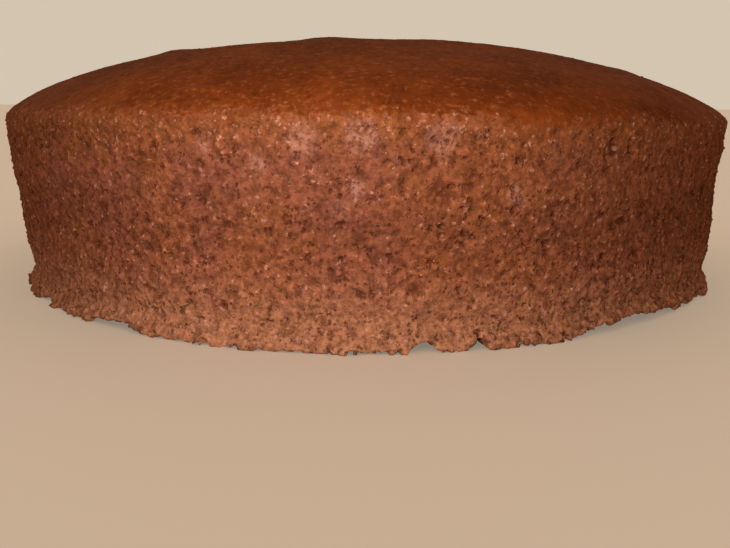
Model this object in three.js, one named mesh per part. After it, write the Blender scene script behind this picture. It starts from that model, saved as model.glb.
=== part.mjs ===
// A plain round chocolate sponge, baked in a tin and turned out: a domed crust on an open
// crumb wall that narrows to a waist above a ragged foot, whose edge is chipped and lifts
// off the table in places. It is uncut, so it is one solid.
// Millimetres and degrees, +Z up, origin at the middle of the flat base, front towards -Y.
import * as THREE from 'three';
import { ImprovedNoise } from 'three/addons/math/ImprovedNoise.js';
import { mergeVertices } from 'three/addons/utils/BufferGeometryUtils.js';

// Overall shape
const rimRadius = 119.6; // the widest ring, where the crust turns down over the wall
const rimHeight = 52.7;
const domeRise = 25.5; // the crown stands this far above the rim
const domeFullness = 0.66; // below 1 the crown is broad and its edge drops steeply

// The wall below the rim, as amounts taken off or added to the radius
const rimLip = 0.7; // the crust stands proud of the crumb by this much
const lipHeight = 3;
const shoulderHeight = 45; // the wall is upright above this and tapers below it
const wallTaper = 3.6;
const waistDepth = 0.5;
const waistHeight = 6;
const waistSpread = 2.8;
const footFlare = 1.7;
const footHeight = 4.8;
const baseRadius = 98; // the base is flat inside this, whatever the foot's edge does

// Slow unevenness of the whole cake: waves round it, size and a turn in degrees
const roundness = [
  { count: 2, size: 0.22, turn: -20 },
  { count: 3, size: 0.35, turn: 75 },
  { count: 5, size: 0.2, turn: 290 },
  { count: 8, size: 0.25, turn: 210 },
];
const rimSag = [
  { count: 1, size: 0.3, turn: 206 },
  { count: 2, size: 0.5, turn: 180 },
  { count: 3, size: 0.45, turn: 270 },
  { count: 7, size: 0.25, turn: 100 },
];

// Crumb: soft lumps all over the wall, and finer, deeper tears in the foot
const lumpWidth = 11;
const lumpDepth = 0.9;
const tearWidth = 7;
const tearDepth = 1.7;

// Broad hollows and bulges in the wall
const bulges = [
  { at: -155, height: 38, wide: 70, tall: 28, out: 0.5 },
  { at: -155, height: 19, wide: 50, tall: 16, out: 0.8 },
  { at: -25, height: 17, wide: 60, tall: 28, out: 2.2 },
  { at: -25, height: 2, wide: 50, tall: 9, out: 1.6 },
  { at: -94, height: 0, wide: 60, tall: 10, out: 1.2 },
  { at: 58, height: 26, wide: 64, tall: 30, out: 0.8 },
  { at: 118, height: 15, wide: 52, tall: 18, out: -0.9 },
];

// Chips: places along the foot where crumb broke off and the edge is off the table
const chipHeight = 4.5;
const liftReach = 12; // the wall is squeezed up to this height where the edge is lifted
const chips = [
  { at: -143, width: 10, depth: 1.2, rise: 1.3 },
  { at: -124, width: 24, depth: 0.6, rise: 1.7 },
  { at: -83, width: 6, depth: 1.4, rise: 2.2 },
  { at: -76.4, width: 4, depth: 1.4, rise: 2.8 },
  { at: -52, width: 42, depth: 0.5, rise: 3.4 },
  { at: -37, width: 34, depth: 0.4, rise: 1.5 },
  { at: -8, width: 14, depth: 1.4, rise: 1.5 },
  { at: 37, width: 8, depth: 1.8, rise: 2.2 },
  { at: 82, width: 26, depth: 0.8, rise: 2 },
  { at: 121, width: 7, depth: 1.8, rise: 2.4 },
  { at: 166, width: 15, depth: 1.2, rise: 1.5 },
];

// The crust: slow swells across the dome, and blisters where it lifted
const swells = [
  { length: 92, size: 0.3, along: 35 },
  { length: 61, size: 0.2, along: 118 },
  { length: 38, size: 0.12, along: 71 },
];
const swellMargin = 12; // the swells die out this close to the rim
const blisters = [
  { at: -149.7, out: 70, width: 12, rise: 0.8 },
  { at: -112, out: 34, width: 20, rise: 1 },
  { at: -60, out: 39, width: 13, rise: 0.2 },
  { at: -18, out: 88, width: 12, rise: 0.7 },
  { at: 44, out: 58, width: 12, rise: 1 },
  { at: 97, out: 81, width: 13, rise: 0.8 },
  { at: 151, out: 49, width: 11, rise: 0.9 },
];

// Faces: round the cake, up the wall and across the dome
const segments = 160;
const wallRows = 13;
const domeRows = 17;
const rowCrowding = 1.25; // above 1 the wall's rows gather at the foot
const mergeDistance = 0.001; // closes the seam and the two points on the axis

const noise = new ImprovedNoise(); // smooth and the same every time, one unit a lump
const clamp01 = (t) => Math.min(Math.max(t, 0), 1);
const bell = (distance, width) => Math.exp(-((distance / width) ** 2));
const plateau = (distance, width) => Math.exp(-((distance / width) ** 4));
const radians = THREE.MathUtils.degToRad;
const sum = (list, term) => list.reduce((total, item) => total + term(item), 0);
const wave = (list, angle) =>
  sum(list, (w) => w.size * Math.cos(w.count * angle + radians(w.turn)));

function wallRadius(height) {
  const fallen = clamp01(1 - height / shoulderHeight);
  const taper = wallTaper * (1 - (1 - fallen) ** 2);
  const waist = waistDepth * bell(height - waistHeight, waistSpread);
  const flare = footFlare * (1 - THREE.MathUtils.smoothstep(height, 0, footHeight));
  const lip = rimLip * (1 - bell(height - rimHeight, lipHeight));
  return rimRadius - taper - waist + flare - lip;
}

function domeHeight(radius) {
  return rimHeight + domeRise * (1 - (radius / rimRadius) ** 2) ** domeFullness;
}

// Half the section, from the middle of the base out, up the wall and in over the dome.
function section() {
  const points = [new THREE.Vector2(0, 0), new THREE.Vector2(baseRadius, 0)];
  for (let i = 0; i < wallRows; i++) {
    const height = rimHeight * (i / wallRows) ** rowCrowding;
    points.push(new THREE.Vector2(wallRadius(height), height));
  }
  for (let i = 0; i < domeRows; i++) {
    const radius = rimRadius * Math.cos((i / domeRows) * (Math.PI / 2));
    points.push(new THREE.Vector2(radius, domeHeight(radius)));
  }
  points.push(new THREE.Vector2(0, rimHeight + domeRise));
  return points;
}

function arcBetween(angle, place) {
  const turn = angle - radians(place);
  return Math.abs(Math.atan2(Math.sin(turn), Math.cos(turn))) * rimRadius;
}

// How far the crumb stands out of the plain wall at one place.
function wallRelief(x, y, height) {
  const angle = Math.atan2(y, x);
  const inFoot = 1 - THREE.MathUtils.smoothstep(height, 0, footHeight);
  const belowRim = clamp01((rimHeight - height) / lipHeight);
  const lumpy = noise.noise(x / lumpWidth, y / lumpWidth, height / lumpWidth);
  const torn = noise.noise(x / tearWidth, y / tearWidth, height / tearWidth);
  const bulged = sum(
    bulges,
    (b) => b.out * bell(arcBetween(angle, b.at), b.wide / 2) * bell(height - b.height, b.tall / 2),
  );
  const chipped = sum(chips, (c) => c.depth * plateau(arcBetween(angle, c.at), c.width / 2));
  return (
    (lumpDepth * lumpy + bulged) * belowRim +
    tearDepth * torn * inFoot -
    chipped * bell(height, chipHeight)
  );
}

// How high the foot's edge is off the table at one angle.
function footLift(angle) {
  return sum(chips, (c) => c.rise * plateau(arcBetween(angle, c.at), c.width / 2));
}

// How far the crust stands above the plain dome at one place.
function crustRelief(x, y) {
  const swell = sum(swells, (s) => {
    const along = x * Math.cos(radians(s.along)) + y * Math.sin(radians(s.along));
    return s.size * Math.sin((2 * Math.PI * along) / s.length);
  });
  const lifted = sum(blisters, (b) => {
    const dx = x - b.out * Math.cos(radians(b.at));
    const dy = y - b.out * Math.sin(radians(b.at));
    return b.rise * bell(Math.hypot(dx, dy), b.width / 2);
  });
  const inside = clamp01((rimRadius - Math.hypot(x, y)) / swellMargin);
  return swell * inside + lifted;
}

function turnSection() {
  const lathe = new THREE.LatheGeometry(section(), segments);
  lathe.rotateX(Math.PI / 2);
  lathe.deleteAttribute('normal');
  lathe.deleteAttribute('uv');
  const merged = mergeVertices(lathe, mergeDistance);
  const corners = merged.index.array;
  const kept = [];
  for (let i = 0; i < corners.length; i += 3) {
    const [a, b, c] = [corners[i], corners[i + 1], corners[i + 2]];
    if (a !== b && b !== c && c !== a) kept.push(a, b, c); // no slivers on the axis
  }
  merged.setIndex(kept);
  return merged;
}

function shapeCake(geometry) {
  const place = geometry.getAttribute('position');
  for (let i = 0; i < place.count; i++) {
    const [x, y, z] = [place.getX(i), place.getY(i), place.getZ(i)];
    const radius = Math.hypot(x, y);
    const angle = Math.atan2(y, x);
    const onBase = radius < baseRadius + 1 && z === 0;
    const onTop = z > rimHeight;
    const relief = onBase || onTop ? 0 : wallRelief(x, y, z) / radius;
    const spread = 1 + wave(roundness, angle) / rimRadius + relief;
    const lift = onBase ? 0 : footLift(angle) * clamp01(1 - z / liftReach);
    const sag = wave(rimSag, angle) * (z / rimHeight) * (radius / rimRadius) ** 4;
    const crust = onTop ? crustRelief(x, y) : 0;
    place.setXYZ(i, x * spread, y * spread, z + lift + sag + crust);
  }
  geometry.computeVertexNormals();
  return geometry;
}

const crumb = new THREE.MeshStandardMaterial({ color: 0x8a4e36, roughness: 0.95, metalness: 0 });
const sponge = new THREE.Mesh(shapeCake(turnSection()), crumb);
sponge.name = 'sponge';

const cake = new THREE.Group();
cake.add(sponge);

export default cake;
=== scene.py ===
import math

import bpy
import numpy as np
from mathutils import Matrix, Vector


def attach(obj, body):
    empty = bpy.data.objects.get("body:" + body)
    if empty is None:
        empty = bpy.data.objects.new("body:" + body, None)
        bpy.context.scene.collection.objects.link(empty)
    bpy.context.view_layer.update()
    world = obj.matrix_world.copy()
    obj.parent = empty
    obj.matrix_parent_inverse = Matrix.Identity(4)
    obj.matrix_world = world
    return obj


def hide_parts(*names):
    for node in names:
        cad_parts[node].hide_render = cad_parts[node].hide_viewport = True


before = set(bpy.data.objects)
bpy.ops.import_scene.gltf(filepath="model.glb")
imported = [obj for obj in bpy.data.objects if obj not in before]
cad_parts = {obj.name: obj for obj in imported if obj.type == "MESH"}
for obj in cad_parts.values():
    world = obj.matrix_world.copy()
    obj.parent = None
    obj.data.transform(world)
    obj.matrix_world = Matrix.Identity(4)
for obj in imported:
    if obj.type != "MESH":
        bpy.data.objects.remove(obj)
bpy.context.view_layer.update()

# Metres and degrees. The front of the cake faces -Y and its base lies on z = 0.
bodyName = "root"
nodeName = "sponge"
tiny = 1e-6  # keeps a division off zero

# The plain shape, before crumb and crust relief. It is the CAD part's, but for a few chips
# and bulges that were set in the final render.
cake = {
    "rimRadius": 0.1196,
    "rimHeight": 0.0527,
    "domeRise": 0.0255,
    "domeFullness": 0.66,
    "rimLip": 0.0007,
    "lipHeight": 0.003,
    "shoulderHeight": 0.045,
    "wallTaper": 0.0036,
    "waistDepth": 0.0005,
    "waistHeight": 0.0060,
    "waistSpread": 0.0028,
    "footFlare": 0.0017,
    "footHeight": 0.0048,
    "baseRadius": 0.098,
    "liftReach": 0.012,
    "chipHeight": 0.0045,
    # powers: the higher, the flatter in the middle and the steeper at the edge
    "chipPower": 4,
    "sagPower": 4,
    # waves round the cake: how many, how big, turned by how much
    "roundness": [(2, 0.00022, -20), (3, 0.00035, 75), (5, 0.0002, 290), (8, 0.00025, 210)],
    "rimSag": [(1, 0.0003, 206), (2, 0.0005, 180), (3, 0.00045, 270), (7, 0.00025, 100)],
    # hollows and bulges in the wall: direction, height, width, tallness, how far out
    "bulges": [
        (-155, 0.036, 0.070, 0.030, 0.0008),
        (-155, 0.019, 0.050, 0.016, 0.0008),
        (-25, 0.017, 0.060, 0.028, 0.0022),
        (-25, 0.002, 0.050, 0.009, 0.0016),
        (-94, 0.000, 0.060, 0.010, 0.0018),
        (58, 0.026, 0.064, 0.030, 0.0008),
        (118, 0.015, 0.052, 0.018, -0.0009),
    ],
    # chips in the foot: direction, width, depth, how high the edge is lifted
    "chips": [
        (-143, 0.010, 0.0012, 0.0013),
        (-124, 0.024, 0.0006, 0.0017),
        (-83.0, 0.006, 0.0014, 0.0022),
        (-76.4, 0.004, 0.0014, 0.0028),
        (-52, 0.042, 0.0005, 0.0029),
        (-37, 0.034, 0.0004, 0.0009),
        (-22, 0.026, 0.0003, 0.0009),
        (-8, 0.014, 0.0014, 0.0015),
        (37, 0.008, 0.0018, 0.0022),
        (82, 0.026, 0.0008, 0.0020),
        (121, 0.007, 0.0018, 0.0024),
        (166, 0.015, 0.0012, 0.0015),
    ],
    # swells across the dome: length, size, direction
    "swells": [(0.092, 0.0003, 35), (0.061, 0.0002, 118), (0.038, 0.00012, 71)],
    "swellMargin": 0.012,
    # blisters: direction, distance from the middle, width, rise
    "blisters": [
        (-149.7, 0.070, 0.012, 0.0008),
        (-112, 0.034, 0.020, 0.0010),
        (-60, 0.039, 0.013, 0.0002),
        (-18, 0.088, 0.012, 0.0007),
        (44, 0.058, 0.012, 0.0010),
        (97, 0.081, 0.013, 0.0008),
        (151, 0.049, 0.011, 0.0009),
    ],
}


def smoothStep(value, start, end):
    t = np.clip((value - start) / (end - start), 0, 1)
    return t * t * (3 - 2 * t)


def bell(distance, width, power=2):
    return np.exp(-((distance / width) ** power))


def arcTo(angle, degrees):
    turn = angle - math.radians(degrees)
    return np.abs(np.arctan2(np.sin(turn), np.cos(turn))) * cake["rimRadius"]


def waves(rows, angle):
    return sum(size * np.cos(count * angle + math.radians(turn)) for count, size, turn in rows)


def wallRadius(height):
    fallen = np.clip(1 - height / cake["shoulderHeight"], 0, 1)
    taper = cake["wallTaper"] * (1 - (1 - fallen) ** 2)
    waist = cake["waistDepth"] * bell(height - cake["waistHeight"], cake["waistSpread"])
    flare = cake["footFlare"] * (1 - smoothStep(height, 0, cake["footHeight"]))
    lip = cake["rimLip"] * (1 - bell(height - cake["rimHeight"], cake["lipHeight"]))
    return cake["rimRadius"] - taper - waist + flare - lip


def domeHeight(radius):
    share = np.clip(1 - (radius / cake["rimRadius"]) ** 2, 0, 1)
    return cake["rimHeight"] + cake["domeRise"] * share ** cake["domeFullness"]


def wallBulge(angle, height):
    belowRim = np.clip((cake["rimHeight"] - height) / cake["lipHeight"], 0, 1)
    bulged = sum(
        out * bell(arcTo(angle, place), wide / 2) * bell(height - level, tall / 2)
        for place, level, wide, tall, out in cake["bulges"]
    )
    chipped = sum(
        depth * bell(arcTo(angle, place), width / 2, cake["chipPower"])
        for place, width, depth, rise in cake["chips"]
    )
    return bulged * belowRim - chipped * bell(height, cake["chipHeight"])


def footLift(angle, height):
    lift = sum(
        rise * bell(arcTo(angle, place), width / 2, cake["chipPower"])
        for place, width, depth, rise in cake["chips"]
    )
    return lift * np.clip(1 - height / cake["liftReach"], 0, 1)


def crustRise(x, y):
    total = 0
    for length, size, direction in cake["swells"]:
        turn = math.radians(direction)
        along = x * math.cos(turn) + y * math.sin(turn)
        total = total + size * np.sin(2 * math.pi * along / length)
    margin = (cake["rimRadius"] - np.hypot(x, y)) / cake["swellMargin"]
    total = total * np.clip(margin, 0, 1)
    for place, out, width, rise in cake["blisters"]:
        turn = math.radians(place)
        away = np.hypot(x - out * math.cos(turn), y - out * math.sin(turn))
        total = total + rise * bell(away, width / 2)
    return total


def settle(radius, angle, height, onTop=0.0, onBase=0.0):
    # points of the plain shape, with the slow unevenness of the whole cake
    x, y = radius * np.cos(angle), radius * np.sin(angle)
    side = 1 - onTop
    out = waves(cake["roundness"], angle) * (radius / cake["rimRadius"])
    out = out + side * (1 - onBase) * wallBulge(angle, height)
    spread = 1 + out / np.maximum(radius, tiny)
    sag = waves(cake["rimSag"], angle) * (height / cake["rimHeight"])
    sag = sag * (radius / cake["rimRadius"]) ** cake["sagPower"]
    lift = side * (1 - onBase) * footLift(angle, height)
    rise = onTop * crustRise(x, y)
    return np.stack([x * spread, y * spread, height + sag + lift + rise], -1)


# Where the crust ends: a line round the wall, and dips of it as direction, width, drop
crustEdge = {
    "height": 0.0522,
    "dips": [
        (-70, 0.030, 0.0030),
        (-48, 0.030, 0.0016),
        (-12, 0.022, 0.0018),
        (25, 0.034, 0.0026),
        (76, 0.020, 0.0014),
        (112, 0.030, 0.0030),
        (160, 0.026, 0.0020),
        (-152, 0.022, 0.0012),
        (-112, 0.016, 0.0008),
    ],
}

# Torn spots in the crumb: direction, height, width, paler (+) or darker (-). Pale spots high on
# the front wall under the rim are painted sheen, darker ones painted shade in torn hollows.
# The power says how sharply they end.
spotPower = 3
tornSpotsAndSheen = [
    (-108.1, 0.0350, 0.0065, -0.8),
    (-91.2, 0.0382, 0.0050, 1.0),
    (-82.1, 0.0372, 0.0070, -0.9),
    (-73.0, 0.0368, 0.0055, 0.8),
    (-101.8, 0.0434, 0.0040, 0.9),
    # painted sheen: the pale spots just under the rim, at the front
    (-108.0, 0.0474, 0.0050, 0.6),
    (-97.0, 0.0490, 0.0090, 0.7),
    (-90.5, 0.0496, 0.0090, 0.8),
    (-82.0, 0.0492, 0.0090, 0.7),
    (-107.2, 0.0345, 0.0040, 0.8),
    (-92.8, 0.0332, 0.0060, 0.5),
    (-60.9, 0.0468, 0.0048, -1.0),
    (-84.5, 0.0152, 0.0050, -0.7),
    (-118.0, 0.0400, 0.0060, -0.7),
    (-126.0, 0.0225, 0.0055, -0.6),
    (-66.0, 0.0270, 0.0050, -0.6),
    (-36.0, 0.0330, 0.0060, -0.8),
    (-14.0, 0.0390, 0.0060, 0.8),
    (8.0, 0.0210, 0.0070, -0.8),
    (31.0, 0.0340, 0.0060, 0.9),
    (52.0, 0.0410, 0.0065, -0.9),
    (74.0, 0.0180, 0.0050, 0.8),
    (95.0, 0.0300, 0.0075, -0.8),
    (117.0, 0.0420, 0.0060, 0.9),
    (138.0, 0.0240, 0.0065, -0.9),
    (158.0, 0.0370, 0.0060, 0.8),
    (-171.0, 0.0290, 0.0060, -0.8),
]


def newPiece(name, points, faces):
    mesh = bpy.data.meshes.new(name)
    mesh.from_pydata(points, [], faces)
    mesh.validate()
    mesh.update()
    piece = bpy.data.objects.new(name, mesh)
    bpy.context.scene.collection.objects.link(piece)
    return piece


def markPoints(piece):
    # stores how far each point is above the crust's edge, and how torn the crumb is there
    count = len(piece.data.vertices)
    places = np.empty(count * 3)
    piece.data.vertices.foreach_get("co", places)
    x, y, height = places.reshape(-1, 3).T
    angle = np.arctan2(y, x)
    line = crustEdge["height"] - sum(
        drop * bell(arcTo(angle, place), width / 2) for place, width, drop in crustEdge["dips"]
    )
    torn = sum(
        shade * bell(np.hypot(arcTo(angle, place), height - level), width / 2, spotPower)
        for place, level, width, shade in tornSpotsAndSheen
    )
    for name, values in (("above", height - line), ("torn", torn)):
        layer = piece.data.attributes.new(name, "FLOAT", "POINT")
        layer.data.foreach_set("value", values.astype(np.float32))
    return piece


def addNode(tree, kind, inputs=None, **settings):
    node = tree.nodes.new(kind)
    for name, value in settings.items():
        setattr(node, name, value)
    for key, value in (inputs or {}).items():
        if isinstance(value, bpy.types.NodeSocket):
            tree.links.new(value, node.inputs[key])
        else:
            node.inputs[key].default_value = value
    return node


def calc(tree, operation, *values):
    inputs = {i: v for i, v in enumerate(values)}
    return addNode(tree, "ShaderNodeMath", inputs, operation=operation).outputs[0]


def add(tree, *values):
    total = values[0]
    for value in values[1:]:
        total = calc(tree, "ADD", total, value)
    return total


def multiply(tree, *values):
    total = values[0]
    for value in values[1:]:
        total = calc(tree, "MULTIPLY", total, value)
    return total


def subtract(tree, first, second):
    return calc(tree, "SUBTRACT", first, second)


def vectorCalc(tree, operation, *values, **named):
    inputs = {**{i: v for i, v in enumerate(values)}, **named}
    return addNode(tree, "ShaderNodeVectorMath", inputs, operation=operation).outputs[0]


def ramp(tree, value, start, end, low=0.0, high=1.0):
    inputs = {"Value": value, "From Min": start, "From Max": end, "To Min": low, "To Max": high}
    return addNode(tree, "ShaderNodeMapRange", inputs, interpolation_type="SMOOTHSTEP").outputs[0]


def perSize(tree, size):
    return calc(tree, "DIVIDE", 1.0, size) if isinstance(size, bpy.types.NodeSocket) else 1 / size


def noise(tree, place, size, detail=2.0, rough=0.5, output=0):
    inputs = {"Vector": place, "Scale": perSize(tree, size), "Detail": detail, "Roughness": rough}
    return addNode(tree, "ShaderNodeTexNoise", inputs).outputs[output]


def waver(tree, place, size, depth, detail=2.0, rough=0.5):
    # noise about zero, reaching about depth to either side
    middle = subtract(tree, noise(tree, place, size, detail, rough), 0.5)
    return multiply(tree, middle, 2.0, depth)


def warp(tree, place, size, reach):
    push = vectorCalc(tree, "SUBTRACT", noise(tree, place, size, 1.0, output=1), (0.5, 0.5, 0.5))
    return vectorCalc(tree, "ADD", place, vectorCalc(tree, "SCALE", push, Scale=reach))


def cells(tree, place, size):
    # distance to the nearest cell's middle, in metres, and a random share for that cell
    inputs = {"Vector": place, "Scale": perSize(tree, size)}
    node = addNode(tree, "ShaderNodeTexVoronoi", inputs, feature="F1")
    share = addNode(tree, "ShaderNodeSeparateXYZ", {0: node.outputs["Color"]}).outputs[0]
    return multiply(tree, node.outputs["Distance"], size), share


# Sizes of the crumb's pattern, which the relief and the colour share
crumbSizes = {
    "Warp width": 0.0016,
    "Warp reach": 0.0013,
    "Granule width": 0.0019,
    "Pit warp width": 0.0013,
    "Pit warp reach": 0.0034,
    "Pit spacing": 0.0023,
    "Pit radius": 0.0012,
    "Hole spacing": 0.0068,
    "Hole radius": 0.0021,
}

# The pattern's shares: how far a granule reaches over its width, how high the lowest one
# is, how steep a dent's side is, how many dents are missing, and where the dents are moved
patternShape = {
    "granuleReach": 0.62,
    "granuleLeast": 0.55,
    "dentSide": (1.0, 0.35),
    "pitsMissing": 0.15,
    "holesMissing": 0.45,
    "pitsMoved": (0.031, 0.017, 0.043),
    "holesMoved": (0.011, 0.047, 0.023),
}


def crumbPattern(tree, place, size):
    # granules of crumb, from 0 between them to 1 on top, and the pits and holes torn in it
    shape = patternShape
    bent = warp(tree, place, size["Warp width"], size["Warp reach"])
    away, share = cells(tree, bent, size["Granule width"])
    reach = multiply(tree, size["Granule width"], shape["granuleReach"])
    tallness = ramp(tree, share, 0.0, 1.0, shape["granuleLeast"], 1.0)
    granule = multiply(tree, ramp(tree, away, reach, 0.0), tallness)

    torn = warp(tree, place, size["Pit warp width"], size["Pit warp reach"])

    def dents(spacing, radius, missing, offset):
        moved = vectorCalc(tree, "ADD", torn, offset)
        far, chance = cells(tree, moved, spacing)
        wide = multiply(tree, ramp(tree, chance, missing, 1.0), radius)
        wide = calc(tree, "MAXIMUM", wide, tiny)
        return ramp(tree, calc(tree, "DIVIDE", far, wide), *shape["dentSide"])

    pit = dents(
        size["Pit spacing"], size["Pit radius"], shape["pitsMissing"], shape["pitsMoved"]
    )
    hole = dents(
        size["Hole spacing"], size["Hole radius"], shape["holesMissing"], shape["holesMoved"]
    )
    return granule, pit, hole


# The relief's widths, depths and bands, as inputs of the tree that the crumb wall and the
# crust dome share
relief = {
    **crumbSizes,
    "Lump width": 0.011,
    "Lump depth": 0.0006,
    "Clump width": 0.0042,
    "Clump depth": 0.0006,
    "Granule depth": 0.00032,
    "Fine width": 0.0016,
    "Fine depth": 0.00065,
    "Pit depth": 0.0009,
    "Hole depth": 0.0011,
    "Torn depth": 0.0009,
    "Foot tear": 0.0009,
    "Foot lift": 0.0005,
    "Crust fade": 0.0018,
    "Crust fray": 0.0019,
    "Closed band": 0.006,
    "Toasted band": 0.009,
    "Wrinkle depth": 0.0003,
    "Pore depth": 0.0002,
    "Tuck": 0.0008,
    "Dip": 0.0,
}

# Noise of the relief as width and depth, or as detail and roughness; and bands as from and
# to (then low and high), above or below the crust's edge, up the wall or out from the middle
reliefShape = {
    "edgeWander": (0.017, 0.0012),
    "frayWidth": 0.0021,
    "wallBand": (0.0055, -0.0008),
    "patchWidth": 0.015,
    "patchRough": (0.40, 0.62, 0.65, 1.25),
    "closedRough": 0.7,
    "tornRougher": 0.5,
    "fineGrain": (3.0, 0.6),
    "tornWidth": 0.0024,
    "lumpDetail": 1.0,
    "chunkWarp": (0.003, 0.002),
    "chunkWidth": 0.0046,
    "footWave": (0.007, 0.0007),
    "footEdge": (0.006, 0.0),
    "footRing": (0.105, 0.113),
    "raggedWidth": 0.0042,
    "raggedShare": (0.44, 0.62),
    "wrinkleWidth": 0.0046,
    "wrinkleGrain": (3.0, 0.55),
    "tuckBand": (0.0012, 0.0022),
    "dipBand": (-0.0010, -0.0020),
    "bakedBand": (-0.0020, 0.0070),
}


def newTree(name, inputs):
    tree = bpy.data.node_groups.new(name, "GeometryNodeTree")
    tree.interface.new_socket("Geometry", in_out="INPUT", socket_type="NodeSocketGeometry")
    for label, value in inputs.items():
        kind = "NodeSocketInt" if isinstance(value, int) else "NodeSocketFloat"
        socket = tree.interface.new_socket(label, in_out="INPUT", socket_type=kind)
        socket.default_value = value
    tree.interface.new_socket("Geometry", in_out="OUTPUT", socket_type="NodeSocketGeometry")
    return tree, tree.nodes.new("NodeGroupInput").outputs


def endTree(tree, geometry, material, smooth):
    real = addNode(tree, "GeometryNodeRealizeInstances", {0: geometry}).outputs[0]
    inputs = {0: real, "Shade Smooth": smooth}
    shaded = addNode(tree, "GeometryNodeSetShadeSmooth", inputs).outputs[0]
    done = addNode(tree, "GeometryNodeSetMaterial", {0: shaded, "Material": material}).outputs[0]
    tree.links.new(done, tree.nodes.new("NodeGroupOutput").inputs[0])


def named(tree, name):
    node = addNode(tree, "GeometryNodeInputNamedAttribute", {"Name": name}, data_type="FLOAT")
    return node.outputs["Attribute"]


def store(tree, geometry, name, value, kind="FLOAT"):
    inputs = {"Geometry": geometry, "Name": name, "Value": value}
    node = addNode(tree, "GeometryNodeStoreNamedAttribute", inputs, data_type=kind, domain="POINT")
    return node.outputs[0]


def grow(piece, tree, values):
    # gives the piece the tree's result as a plain mesh
    modifier = piece.modifiers.new(tree.name, "NODES")
    modifier.node_group = tree
    sockets = {s.name: s.identifier for s in tree.interface.items_tree if s.in_out == "INPUT"}
    for label, value in values.items():
        modifier[sockets[label]] = value
    graph = bpy.context.evaluated_depsgraph_get()
    made = bpy.data.meshes.new_from_object(piece.evaluated_get(graph))
    piece.modifiers.clear()
    old = piece.data
    piece.data = made
    bpy.data.meshes.remove(old)
    made.name = piece.name
    return piece


def reliefTree(material):
    tree, start = newTree("cakeRelief", relief)
    shape = reliefShape
    place = tree.nodes.new("GeometryNodeInputPosition").outputs[0]
    normal = tree.nodes.new("GeometryNodeInputNormal").outputs[0]
    x, y, height = addNode(tree, "ShaderNodeSeparateXYZ", {0: place}).outputs
    radius = calc(tree, "SQRT", add(tree, multiply(tree, x, x), multiply(tree, y, y)))
    torn = named(tree, "torn")

    # the crust: 0 on the wall, 1 above its frayed edge
    above = add(
        tree,
        named(tree, "above"),
        waver(tree, place, *shape["edgeWander"]),
        waver(tree, place, shape["frayWidth"], start["Crust fray"]),
    )
    fade = start["Crust fade"]
    crust = ramp(tree, above, multiply(tree, fade, -1.0), fade)
    onWall = ramp(tree, above, *shape["wallBand"])

    # the crumb: lumps, clumps and granules, closed near the crust and open lower down
    granule, pit, hole = crumbPattern(tree, place, start)
    tornHere = calc(tree, "ABSOLUTE", torn)
    rough = ramp(tree, noise(tree, place, shape["patchWidth"]), *shape["patchRough"])
    below = multiply(tree, start["Closed band"], -1.0)
    closed = ramp(tree, above, below, 0.0, 1.0, shape["closedRough"])
    rough = add(tree, rough, multiply(tree, tornHere, shape["tornRougher"]))
    rough = multiply(tree, rough, closed)
    bumps = add(
        tree,
        waver(tree, place, start["Clump width"], start["Clump depth"]),
        waver(tree, place, start["Fine width"], start["Fine depth"], *shape["fineGrain"]),
        multiply(tree, granule, start["Granule depth"]),
    )
    cuts = add(
        tree,
        multiply(tree, pit, start["Pit depth"]),
        multiply(tree, hole, start["Hole depth"]),
        multiply(tree, tornHere, start["Torn depth"], noise(tree, place, shape["tornWidth"])),
    )
    lumps = waver(tree, place, start["Lump width"], start["Lump depth"], shape["lumpDetail"])
    crumb = add(tree, lumps, multiply(tree, subtract(tree, bumps, cuts), rough))

    # the foot is torn in chunks, and its edge is lifted a little in places
    inFoot = ramp(tree, height, cake["footHeight"], 0.0)
    chunk = cells(tree, warp(tree, place, *shape["chunkWarp"]), shape["chunkWidth"])[1]
    chunky = multiply(tree, subtract(tree, chunk, 0.5), 2.0, start["Foot tear"])
    wavy = waver(tree, place, *shape["footWave"])
    footPush = multiply(tree, inFoot, add(tree, chunky, wavy))
    lowest = ramp(tree, height, *shape["footEdge"])
    outermost = ramp(tree, radius, *shape["footRing"])
    ragged = ramp(tree, noise(tree, place, shape["raggedWidth"]), *shape["raggedShare"])
    lift = multiply(tree, lowest, outermost, ragged, start["Foot lift"])

    # the crust: slight wrinkles and pores
    wrinkle = (shape["wrinkleWidth"], start["Wrinkle depth"], *shape["wrinkleGrain"])
    pores = multiply(tree, pit, start["Pore depth"])
    skin = subtract(tree, waver(tree, place, *wrinkle), pores)

    # at the crust's edge each piece sinks under the other, so that no join shows
    under = multiply(tree, ramp(tree, above, *shape["tuckBand"]), start["Tuck"])
    sunk = multiply(tree, ramp(tree, above, *shape["dipBand"]), start["Dip"])
    push = add(tree, multiply(tree, crumb, onWall), footPush, multiply(tree, skin, crust))
    push = subtract(tree, push, add(tree, under, sunk))

    offset = vectorCalc(tree, "SCALE", normal, Scale=push)
    pushed = vectorCalc(tree, "ADD", place, offset)
    moved = addNode(tree, "ShaderNodeSeparateXYZ", {0: pushed}).outputs
    floored = calc(tree, "MAXIMUM", add(tree, moved[2], lift), 0.0)
    final = addNode(tree, "ShaderNodeCombineXYZ", {0: moved[0], 1: moved[1], 2: floored}).outputs[0]

    geometry = store(tree, start["Geometry"], "crust", crust)
    geometry = store(tree, geometry, "closed", subtract(tree, 1.0, closed))
    toasted = ramp(tree, above, multiply(tree, start["Toasted band"], -1.0), 0.0)
    geometry = store(tree, geometry, "toasted", toasted)
    geometry = store(tree, geometry, "baked", ramp(tree, above, *shape["bakedBand"]))
    geometry = store(tree, geometry, "rest", place, "FLOAT_VECTOR")
    inputs = {"Geometry": geometry, "Position": final}
    endTree(tree, addNode(tree, "GeometryNodeSetPosition", inputs).outputs[0], material, True)
    return tree


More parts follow.
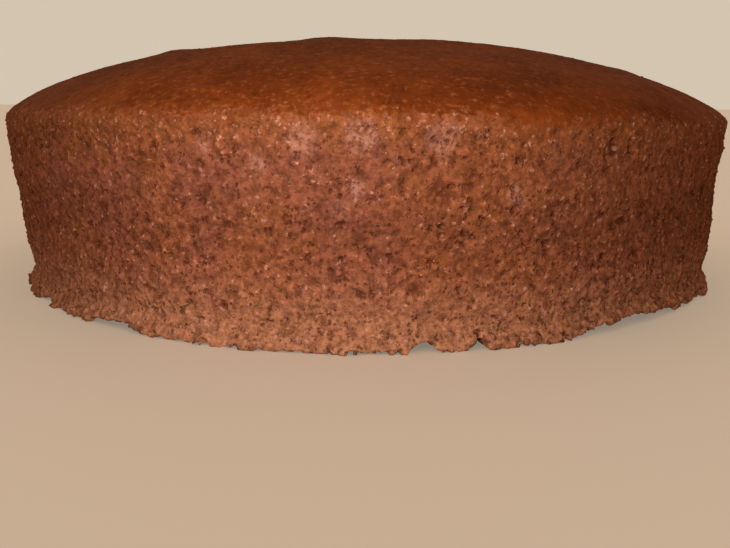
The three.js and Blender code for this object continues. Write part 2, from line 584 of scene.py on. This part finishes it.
def evenSection(radius, height, onTop, steps):
    # the same line of the section, cut into even steps
    along = np.concatenate([[0], np.cumsum(np.hypot(np.diff(radius), np.diff(height)))])
    even = np.linspace(0, along[-1], steps + 1)
    return [np.interp(even, along, values) for values in (radius, height, onTop)]


# The crumb piece: base, wall, and a top that the crust hides
crumbPiece = {
    "columns": 1110,
    "baseRings": 3,
    "rows": 85,
    "topRadius": 0.1165,
    "wallSamples": 400,
    "topSamples": 60,
}


def crumbSection():
    up = np.linspace(0, cake["rimHeight"], crumbPiece["wallSamples"])
    over = np.linspace(cake["rimRadius"], crumbPiece["topRadius"], crumbPiece["topSamples"])[1:]
    radius = np.concatenate([wallRadius(up), over])
    height = np.concatenate([up, domeHeight(over)])
    onTop = np.concatenate([np.zeros(len(up)), np.ones(len(over))])
    return evenSection(radius, height, onTop, crumbPiece["rows"])


def crumbForm():
    columns = crumbPiece["columns"]
    angle = np.linspace(0, 2 * math.pi, columns, endpoint=False)
    even = np.ones(columns)
    base = np.linspace(cake["baseRadius"], wallRadius(0.0), crumbPiece["baseRings"] + 1)[:-1]
    flat = (wallRadius(0.0) - base) / (wallRadius(0.0) - cake["baseRadius"])
    levels = [settle(r * even, angle, 0 * even, onBase=f) for r, f in zip(base, flat)]
    levels += [settle(r * even, angle, h * even, t) for r, h, t in zip(*crumbSection())]
    faces = []
    for level in range(len(levels) - 1):
        low, high = level * columns, (level + 1) * columns
        for column in range(columns):
            after = (column + 1) % columns
            faces.append((low + column, low + after, high + after, high + column))
    last = (len(levels) - 1) * columns
    faces.append(tuple(reversed(range(columns))))
    faces.append(tuple(last + column for column in range(columns)))
    return markPoints(newPiece("crumbWall", np.concatenate(levels).tolist(), faces))


# The crust piece: the dome, turned down over the rim to a hidden edge
crustPiece = {
    "sides": 6,
    "rings": 176,
    "skirt": 0.0095,
    "dip": 0.0012,
    "domeSamples": 400,
    "skirtSamples": 40,
}


def crustSection():
    turn = np.linspace(0, math.pi / 2, crustPiece["domeSamples"])
    domeRadius = cake["rimRadius"] * np.sin(turn)
    down = np.linspace(0, crustPiece["skirt"], crustPiece["skirtSamples"])[1:]
    radius = np.concatenate([domeRadius, wallRadius(cake["rimHeight"] - down)])
    height = np.concatenate([domeHeight(domeRadius), cake["rimHeight"] - down])
    onTop = np.concatenate([np.ones(len(turn)), np.zeros(len(down))])
    return evenSection(radius, height, onTop, crustPiece["rings"])


def crustForm():
    radius, height, onTop = crustSection()
    sides, rings = crustPiece["sides"], crustPiece["rings"]
    counts = [1] + [sides * ring for ring in range(1, rings + 1)]
    starts = np.concatenate([[0], np.cumsum(counts)]).tolist()
    points = []
    for ring, count in enumerate(counts):
        angle = np.linspace(0, 2 * math.pi, count, endpoint=False)
        even = np.ones(count)
        points.append(settle(radius[ring] * even, angle, height[ring] * even, onTop[ring]))
    faces = [(0, 1 + i, 1 + (i + 1) % sides) for i in range(sides)]
    # each ring has one more point on every side than the ring inside it
    for ring in range(1, rings):
        inner, outer = starts[ring], starts[ring + 1]
        few, many = counts[ring], counts[ring + 1]
        for side in range(sides):
            for i in range(ring + 1):
                a = outer + (side * (ring + 1) + i) % many
                b = outer + (side * (ring + 1) + i + 1) % many
                c = inner + (side * ring + i) % few
                faces.append((c, a, b))
                if i < ring:
                    faces.append((c, b, inner + (side * ring + i + 1) % few))
    faces.append(tuple(starts[rings] + i for i in reversed(range(counts[rings]))))
    return markPoints(newPiece("crustDome", np.concatenate(points).tolist(), faces))


# Loose-looking crumb that stands out of the surface, one piece for each kind
scatters = {
    "crumbGrains": {
        "Spacing": 0.0015,
        "Small": 0.00028,
        "Large": 0.00058,
        "Flatness": 0.8,
        "Sink": 0.25,
        "Lowest": 0.0012,
        "Highest": 0.0560,
        "Crust least": -1.0,
        "Crust most": 0.97,
        "Rough": 0.0008,
        "Palest glint": 0.82,
        "Sides": 1,
        "Seed": 3,
    },
    # rimGrains are the palest: painted glints of the sheen under the rim
    "rimGrains": {
        "Spacing": 0.0011,
        "Small": 0.00016,
        "Large": 0.00042,
        "Flatness": 0.8,
        "Sink": 0.2,
        "Lowest": 0.0440,
        "Highest": 0.0560,
        "Crust least": 0.0,
        "Crust most": 1.1,
        "Rough": 0.0007,
        "Palest glint": 1.3,
        "Sides": 1,
        "Seed": 19,
    },
    "footCrumbs": {
        "Spacing": 0.0022,
        "Small": 0.0006,
        "Large": 0.0013,
        "Flatness": 0.8,
        "Sink": 0.35,
        "Lowest": 0.0004,
        "Highest": 0.0042,
        "Crust least": -1.0,
        "Crust most": 0.5,
        "Rough": 0.0010,
        "Palest glint": 0.8,
        "Sides": 2,
        "Seed": 11,
    },
    "crustSpecks": {
        "Spacing": 0.0040,
        "Small": 0.00022,
        "Large": 0.00062,
        "Flatness": 0.5,
        "Sink": 0.3,
        "Lowest": 0.0500,
        "Highest": 0.0900,
        "Crust least": 0.6,
        "Crust most": 2.0,
        "Rough": 0.0005,
        "Palest glint": 0.7,
        "Sides": 1,
        "Seed": 7,
    },
}

# Where grains lie thick or thin, how far each is stretched, and how finely it is pulled
grainShape = {
    "mostPerArea": 1e6,
    "patchWidth": 0.009,
    "patchShare": (0.38, 0.58, 0.35, 1.0),
    "stretch": (0.75, 1.5),
    "pullWidth": 0.0008,
}


def scatterTree(material):
    tree, start = newTree("crumbScatter", scatters["crumbGrains"])
    shape = grainShape
    place = tree.nodes.new("GeometryNodeInputPosition").outputs[0]
    height = addNode(tree, "ShaderNodeSeparateXYZ", {0: place}).outputs["Z"]
    crust = named(tree, "crust")
    chosen = multiply(
        tree,
        calc(tree, "GREATER_THAN", height, start["Lowest"]),
        calc(tree, "LESS_THAN", height, start["Highest"]),
        calc(tree, "GREATER_THAN", crust, start["Crust least"]),
        calc(tree, "LESS_THAN", crust, start["Crust most"]),
    )
    patchy = ramp(tree, noise(tree, place, shape["patchWidth"]), *shape["patchShare"])
    spread = addNode(
        tree,
        "GeometryNodeDistributePointsOnFaces",
        {
            "Mesh": start["Geometry"],
            "Distance Min": start["Spacing"],
            "Density Max": shape["mostPerArea"],
            "Density Factor": multiply(tree, chosen, patchy),
            "Seed": start["Seed"],
        },
        distribute_method="POISSON",
    )

    def chance(low, high, seed):
        inputs = {2: low, 3: high, "Seed": seed}
        return addNode(tree, "FunctionNodeRandomValue", inputs, data_type="FLOAT").outputs[1]

    size = chance(start["Small"], start["Large"], seed=2)
    sink = multiply(tree, size, start["Sink"], -1.0)
    sunk = addNode(
        tree,
        "GeometryNodeSetPosition",
        {
            "Geometry": spread.outputs["Points"],
            "Offset": vectorCalc(tree, "SCALE", spread.outputs["Normal"], Scale=sink),
        },
    ).outputs[0]
    grain = addNode(
        tree, "GeometryNodeMeshIcoSphere", {"Radius": 1.0, "Subdivisions": start["Sides"]}
    ).outputs["Mesh"]
    scale = addNode(
        tree,
        "ShaderNodeCombineXYZ",
        {
            0: multiply(tree, size, chance(*shape["stretch"], seed=3)),
            1: multiply(tree, size, chance(*shape["stretch"], seed=4)),
            2: multiply(tree, size, start["Flatness"]),
        },
    ).outputs[0]
    placed = addNode(
        tree,
        "GeometryNodeInstanceOnPoints",
        {
            "Points": store(tree, sunk, "toneAndGlint", chance(-1.0, start["Palest glint"], seed=1)),
            "Instance": grain,
            "Rotation": spread.outputs["Rotation"],
            "Scale": scale,
        },
    ).outputs[0]
    angle = chance(0.0, 2 * math.pi, seed=5)
    spin = addNode(tree, "ShaderNodeCombineXYZ", {2: angle}).outputs[0]
    turned = addNode(tree, "GeometryNodeRotateInstances", {0: placed, "Rotation": spin}).outputs[0]
    real = addNode(tree, "GeometryNodeRealizeInstances", {0: turned}).outputs[0]

    # each grain is pulled out of shape, and none reaches below the base
    pulled = warp(tree, place, shape["pullWidth"], start["Rough"])
    parts = addNode(tree, "ShaderNodeSeparateXYZ", {0: pulled}).outputs
    floored = calc(tree, "MAXIMUM", parts[2], 0.0)
    final = addNode(tree, "ShaderNodeCombineXYZ", {0: parts[0], 1: parts[1], 2: floored}).outputs[0]
    shaped = addNode(tree, "GeometryNodeSetPosition", {0: real, "Position": final}).outputs[0]
    endTree(tree, store(tree, shaped, "rest", place, "FLOAT_VECTOR"), material, False)
    return tree


def scatterPiece(name, host, tree):
    piece = bpy.data.objects.new(name, host.data.copy())
    bpy.context.scene.collection.objects.link(piece)
    return grow(piece, tree, scatters[name])


# The finish: one material for all pieces. The attributes stored on a piece say which of
# these colours show where.
finish = {
    "crumbWarm": (0.171, 0.0508, 0.0190, 1),
    "crumbDull": (0.156, 0.0465, 0.0235, 1),
    "crumbToasted": (0.166, 0.0490, 0.0155, 1),
    # painted light bounced up from the floor onto the foot
    "crumbFootBounceLit": (0.240, 0.0935, 0.0455, 1),
    # painted shade in pits, holes, gaps and pinholes; also dim patches
    "crumbShadeAndDim": (0.052, 0.0115, 0.0045, 1),
    # painted highlight: the pale of glinting crumb tips and grains
    "crumbTipGlint": (0.390, 0.176, 0.117, 1),
    # pale of torn crumb, and painted sheen under the rim
    "tornPaleAndSheen": (0.295, 0.124, 0.084, 1),
    "crustWarm": (0.148, 0.0305, 0.0045, 1),
    "crustDark": (0.107, 0.0200, 0.0030, 1),
    # dark pores, and painted shade in the crust's pits
    "crustPoresAndPitShade": (0.048, 0.0075, 0.0015, 1),
    "crustFleck": (0.270, 0.0820, 0.0260, 1),
    "crumbRoughness": 0.85,
    "crustRoughness": 0.58,
    "specular": 0.03,
}


def mixColour(tree, share, first, second):
    inputs = {"Factor": share, 6: first, 7: second}
    return addNode(tree, "ShaderNodeMix", inputs, data_type="RGBA").outputs[2]


def scaleColour(tree, colour, factor):
    return vectorCalc(tree, "SCALE", colour, Scale=factor)


def deepest(tree, *values):
    # the strongest of several dark places
    most = values[0]
    for value in values[1:]:
        most = calc(tree, "MAXIMUM", most, value)
    return most


def surface(tree, name, output="Fac"):
    node = addNode(tree, "ShaderNodeAttribute", attribute_name=name, attribute_type="GEOMETRY")
    return node.outputs[output]


# The crumb's colour. Noise is width, detail, roughness; a wave is width, depth; the rest is
# from and to, then low and high. Bands are heights above the base.
crumbLook = {
    "patchNoise": (0.021, 3.0, 0.6),
    "patchWave": (0.006, 0.13),
    "patchShare": (0.36, 0.64),
    "toastedMost": 0.85,
    "footBounceBand": (0.022, 0.002),
    "mottleNoise": (0.0022, 3.0, 0.65),
    "mottleShade": (0.34, 0.66, 0.80, 1.26),
    "fineNoise": (0.0010, 2.0, 0.6),
    "fineShade": (0.34, 0.66, 0.85, 1.15),
    "tipNoise": (0.0009, 3.0, 0.7),
    "tipNoiseShare": (0.52, 0.66),
    "tipGranuleShare": (0.15, 0.70),
    "tipToasted": 0.05,
    "fleckNoise": (0.0015, 2.0, 0.6),
    "paleSpotShare": (0.1, 0.9),
    "paleFleckShare": (0.41, 0.56, 0.1, 0.9),
    "darkSpotShare": (-0.1, -0.8),
    "darkFleckShare": (0.57, 0.44, 0.3, 1.0),
    "gapGranuleShare": (0.26, 0.04),
    "gapNoiseShare": (0.60, 0.42),
    "gapMost": 0.35,
    "pinholeWarp": (0.0007, 0.0009),
    "pinholeSpacing": 0.0014,
    "pinholeEdge": (0.0006, 0.0002),
    "pinholeChance": (0.3, 0.6),
    "dimShare": (0.52, 0.32, 0.0, 0.6),
    "darkMost": 0.80,
    "closedLess": 1.5,
    "calmBand": (0.034, 0.040, 0.046),
    "calmLess": 0.35,
    "middleBand": (0.018, 0.028, 0.038),
    # painted shade half way up and painted light by the rim
    "middleShade": 0.13,
    "rimShade": (0.034, 0.047, 1.0, 1.01),
}


def band(tree, height, low, middle, high):
    # 1 at the middle height, falling to 0 at the low and the high one
    return multiply(tree, ramp(tree, height, low, middle), ramp(tree, height, high, middle))


def crumbGround(tree, place, height):
    # broad warm and dull patches, browner by the crust, and paler at the foot, which is painted
    # light bounced up from the floor
    look = crumbLook
    patches = noise(tree, place, *look["patchNoise"])
    patches = add(tree, patches, waver(tree, place, *look["patchWave"]))
    broad = ramp(tree, patches, *look["patchShare"])
    colour = mixColour(tree, broad, finish["crumbDull"], finish["crumbWarm"])
    toasted = multiply(tree, surface(tree, "toasted"), look["toastedMost"])
    colour = mixColour(tree, toasted, colour, finish["crumbToasted"])
    low = ramp(tree, height, *look["footBounceBand"])
    return mixColour(tree, low, colour, finish["crumbFootBounceLit"])


def crumbColour(tree, place, granule, pit, hole):
    look = crumbLook
    height = addNode(tree, "ShaderNodeSeparateXYZ", {0: place}).outputs["Z"]
    torn = surface(tree, "torn")
    middling = noise(tree, place, *look["mottleNoise"])
    small = noise(tree, place, *look["tipNoise"])
    flecks = noise(tree, place, *look["fleckNoise"])

    # brighter and darker granules
    mottle = ramp(tree, middling, *look["mottleShade"])
    fine = ramp(tree, noise(tree, place, *look["fineNoise"]), *look["fineShade"])
    colour = crumbGround(tree, place, height)
    colour = scaleColour(tree, colour, multiply(tree, mottle, fine))

    # painted glints on granule tips, and pale flecks where the crumb is torn, which high under the
    # rim paint the sheen there
    more = multiply(tree, surface(tree, "toasted"), look["tipToasted"])
    onTips = ramp(tree, granule, *look["tipGranuleShare"])
    tipGlint = multiply(tree, onTips, ramp(tree, add(tree, small, more), *look["tipNoiseShare"]))
    colour = mixColour(tree, tipGlint, colour, finish["crumbTipGlint"])
    paleSpot = ramp(tree, torn, *look["paleSpotShare"])
    pale = multiply(tree, paleSpot, ramp(tree, flecks, *look["paleFleckShare"]))
    colour = mixColour(tree, pale, colour, finish["tornPaleAndSheen"])

    # painted shade in pits, holes, gaps between granules, pinholes and dark torn hollows, along
    # with dim patches of darker crumb; fewer by the crust and in a calm band under it
    between = ramp(tree, granule, *look["gapGranuleShare"])
    gapShade = multiply(tree, between, ramp(tree, small, *look["gapNoiseShare"]))
    bent = warp(tree, place, *look["pinholeWarp"])
    away, share = cells(tree, bent, look["pinholeSpacing"])
    inside = ramp(tree, away, *look["pinholeEdge"])
    pinholeShade = multiply(tree, inside, ramp(tree, share, *look["pinholeChance"]))
    dim = ramp(tree, middling, *look["dimShare"])
    darkSpot = ramp(tree, torn, *look["darkSpotShare"])
    tornHollowShade = multiply(tree, darkSpot, ramp(tree, flecks, *look["darkFleckShare"]))
    gapShade = multiply(tree, gapShade, look["gapMost"])
    dark = deepest(tree, pit, hole, gapShade, pinholeShade, dim, tornHollowShade)
    closed = multiply(tree, surface(tree, "closed"), look["closedLess"])
    openHere = subtract(tree, look["darkMost"], closed)
    calm = multiply(tree, band(tree, height, *look["calmBand"]), look["calmLess"])
    openHere = multiply(tree, openHere, subtract(tree, 1.0, calm))
    colour = mixColour(tree, multiply(tree, dark, openHere), colour, finish["crumbShadeAndDim"])

    # painted shade: a little darker half way up, where the wall leans in and faces down a little;
    # and painted light: a hair lighter towards the rim
    middle = band(tree, height, *look["middleBand"])
    darker = multiply(tree, middle, -look["middleShade"])
    shade = add(tree, ramp(tree, height, *look["rimShade"]), darker)
    return scaleColour(tree, colour, shade)


# The crust's colour, in the same way
crustLook = {
    "cloudNoise": (0.028, 3.0, 0.6),
    "cloudShare": (0.36, 0.66),
    "fineNoise": (0.0015, 3.0, 0.6),
    "fleckShare": (0.54, 0.70, 0.0, 0.5),
    "poreShare": (0.46, 0.28, 0.0, 0.45),
    "pitMost": 0.25,
    "blotchNoise": (0.0055, 2.0, 0.6),
    "blotchShade": (0.30, 0.70, 0.86, 1.16),
}


def crustColour(tree, place, pit):
    look = crustLook
    clouds = ramp(tree, noise(tree, place, *look["cloudNoise"]), *look["cloudShare"])
    colour = mixColour(tree, clouds, finish["crustDark"], finish["crustWarm"])
    fine = noise(tree, place, *look["fineNoise"])
    fleck = ramp(tree, fine, *look["fleckShare"])
    colour = mixColour(tree, fleck, colour, finish["crustFleck"])
    pore = ramp(tree, fine, *look["poreShare"])
    colour = mixColour(tree, pore, colour, finish["crustPoresAndPitShade"])
    # painted shade in the crust's pits
    pitShade = multiply(tree, pit, look["pitMost"])
    colour = mixColour(tree, pitShade, colour, finish["crustPoresAndPitShade"])
    blotch = ramp(tree, noise(tree, place, *look["blotchNoise"]), *look["blotchShade"])
    return scaleColour(tree, colour, blotch)


# How crumb gives way to crust, how grains are tinted (some darker at random, some pale with
# painted glints), and the fine bump
blend = {
    "speckle": (0.0014, 1.3, 3.0, 0.7),
    "bakedShare": (0.25, 0.75),
    "darkGrain": (-1.0, 0.2, 0.72, 1.0),
    "glintGrain": (0.45, 1.0, 0.0, 0.6),
    "bumpNoise": (0.0006, 3.0, 0.65),
    "bumpGranule": 0.6,
    "bumpPit": -0.8,
    "bumpStrength": 0.8,
    "crustSmoother": -0.55,
    "bumpDepth": 0.0004,
}


def cakeMaterial():
    material = bpy.data.materials.new("bakedSponge")
    material.use_nodes = True
    tree = material.node_tree
    tree.nodes.clear()
    place = surface(tree, "rest", "Vector")
    crust = surface(tree, "crust")
    granule, pit, hole = crumbPattern(tree, place, crumbSizes)
    speckled = add(tree, surface(tree, "baked"), waver(tree, place, *blend["speckle"]))
    colour = mixColour(
        tree,
        ramp(tree, speckled, *blend["bakedShare"]),
        crumbColour(tree, place, granule, pit, hole),
        crustColour(tree, place, pit),
    )
    # the grain tint darkens some grains at random and paints pale glints on others
    chance = surface(tree, "toneAndGlint")
    colour = scaleColour(tree, colour, ramp(tree, chance, *blend["darkGrain"]))
    withGlints = mixColour(tree, ramp(tree, chance, *blend["glintGrain"]), colour, finish["crumbTipGlint"])
    change = finish["crustRoughness"] - finish["crumbRoughness"]
    rough = calc(tree, "MULTIPLY_ADD", crust, change, finish["crumbRoughness"])
    fine = add(
        tree,
        noise(tree, place, *blend["bumpNoise"]),
        multiply(tree, granule, blend["bumpGranule"]),
        multiply(tree, pit, blend["bumpPit"]),
    )
    strength = calc(tree, "MULTIPLY_ADD", crust, blend["crustSmoother"], blend["bumpStrength"])
    inputs = {"Height": fine, "Strength": strength, "Distance": blend["bumpDepth"]}
    bump = addNode(tree, "ShaderNodeBump", inputs).outputs[0]
    inputs = {"Base Color": withGlints, "Roughness": rough, "Normal": bump}
    shader = addNode(tree, "ShaderNodeBsdfPrincipled", inputs)
    shader.inputs["Specular IOR Level"].default_value = finish["specular"]
    end = tree.nodes.new("ShaderNodeOutputMaterial")
    tree.links.new(shader.outputs[0], end.inputs[0])
    return material


# The camera stands where the photograph was taken from. Lens and sensor are in millimetres.
view = {
    "place": (-0.0002, -0.2835, 0.0561),
    "pitchDown": 12.55,
    "roll": 0.4,
    "lens": 37.25,
    "sensor": 36,
    "nearest": 0.01,
}


def makeCamera():
    data = bpy.data.cameras.new("camera")
    data.lens = view["lens"]
    data.sensor_width = view["sensor"]
    data.clip_start = view["nearest"]
    camera = bpy.data.objects.new("camera", data)
    tilt = Matrix.Rotation(math.radians(90 - view["pitchDown"]), 4, "X")
    roll = Matrix.Rotation(math.radians(view["roll"]), 4, "Z")
    camera.matrix_world = Matrix.Translation(view["place"]) @ tilt @ roll
    bpy.context.scene.collection.objects.link(camera)
    bpy.context.scene.camera = camera


# A pale floor, a warm soft room, and three lamps that light the cake's pieces only: one by
# the camera and two behind. A spot lamp also has the width of its cone, in degrees.
studio = {
    "floorSize": 80.0,
    "floorColour": (0.82, 0.79, 0.75, 1),
    "floorGlow": (0.20, 0.187, 0.155, 1),
    "floorRoughness": 0.7,
    "backdropColour": (0.66, 0.56, 0.44, 1),
    "roomColour": (0.46, 0.300, 0.18, 1),
    "lamps": {
        "frontLamp": {
            "kind": "SPOT",
            "place": (-0.031, -0.287, 0.086),
            "aim": (-0.010, -0.115, 0.021),
            "size": 0.03,
            "cone": 67,
            "colour": (1, 1, 1),
            "power": 2.52,
            "gloss": True,
        },
        "backLampLeft": {
            "kind": "AREA",
            "place": (-0.76, 0.52, 0.32),
            "aim": (0.0, 0.0, 0.03),
            "size": 0.6,
            "colour": (1, 0.84, 0.66),
            "power": 2.7,
            "gloss": False,
        },
        "backLampRight": {
            "kind": "AREA",
            "place": (0.54, 0.75, 0.32),
            "aim": (0.0, 0.0, 0.03),
            "size": 0.6,
            "colour": (1, 0.84, 0.66),
            "power": 2.7,
            "gloss": False,
        },
    },
}


def makeFloor():
    half = studio["floorSize"] / 2
    corners = [(-half, -half, 0), (half, -half, 0), (half, half, 0), (-half, half, 0)]
    floor = newPiece("floor", corners, [(0, 1, 2, 3)])
    material = bpy.data.materials.new("paleFloor")
    material.use_nodes = True
    shader = material.node_tree.nodes["Principled BSDF"]
    shader.inputs["Base Color"].default_value = studio["floorColour"]
    shader.inputs["Roughness"].default_value = studio["floorRoughness"]
    shader.inputs["Emission Color"].default_value = studio["floorGlow"]
    shader.inputs["Emission Strength"].default_value = 1.0
    floor.data.materials.append(material)


def makeLight():
    world = bpy.data.worlds.new("softRoom")
    world.use_nodes = True
    tree = world.node_tree
    seen = tree.nodes.new("ShaderNodeLightPath").outputs["Is Camera Ray"]
    colour = mixColour(tree, seen, studio["roomColour"], studio["backdropColour"])
    tree.links.new(colour, tree.nodes["Background"].inputs["Color"])
    bpy.context.scene.world = world
    bpy.context.scene.view_settings.view_transform = "Standard"


def makeLamps(pieces):
    cakePieces = bpy.data.collections.new("cakePieces")
    for piece in pieces:
        cakePieces.objects.link(piece)
    for name, lamp in studio["lamps"].items():
        data = bpy.data.lights.new(name, lamp["kind"])
        if lamp["kind"] == "SPOT":
            data.spot_size = math.radians(lamp["cone"])
            data.spot_blend = 1.0
            data.shadow_soft_size = lamp["size"]
        else:
            data.shape = "DISK"
            data.size = lamp["size"]
        data.energy = lamp["power"]
        data.color = lamp["colour"]
        holder = bpy.data.objects.new(name, data)
        holder.location = lamp["place"]
        aim = Vector(lamp["aim"]) - Vector(lamp["place"])
        holder.rotation_euler = aim.to_track_quat("-Z", "Y").to_euler()
        holder.visible_camera = False
        holder.visible_glossy = lamp["gloss"]
        holder.light_linking.receiver_collection = cakePieces
        bpy.context.scene.collection.objects.link(holder)


print("camera, floor and light")
makeCamera()
makeFloor()
makeLight()

print("finish and node trees")
sponge = cakeMaterial()
shaping = reliefTree(sponge)
scattering = scatterTree(sponge)

print("crumb wall and crust dome")
wall = grow(crumbForm(), shaping, relief)
dome = grow(crustForm(), shaping, {**relief, "Tuck": 0.0, "Dip": crustPiece["dip"]})

print("grains and crumbs")
grains = scatterPiece("crumbGrains", wall, scattering)
rimGrains = scatterPiece("rimGrains", wall, scattering)
footCrumbs = scatterPiece("footCrumbs", wall, scattering)
specks = scatterPiece("crustSpecks", dome, scattering)

slots = {
    wall: "crumb",
    grains: "crumb",
    rimGrains: "crumb",
    footCrumbs: "crumb",
    dome: "crust",
    specks: "crust",
}
for piece, slot in slots.items():
    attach(piece, bodyName)
    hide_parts(nodeName)
    print(piece.name, sum(len(p.vertices) - 2 for p in piece.data.polygons), "triangles")

makeLamps(slots)
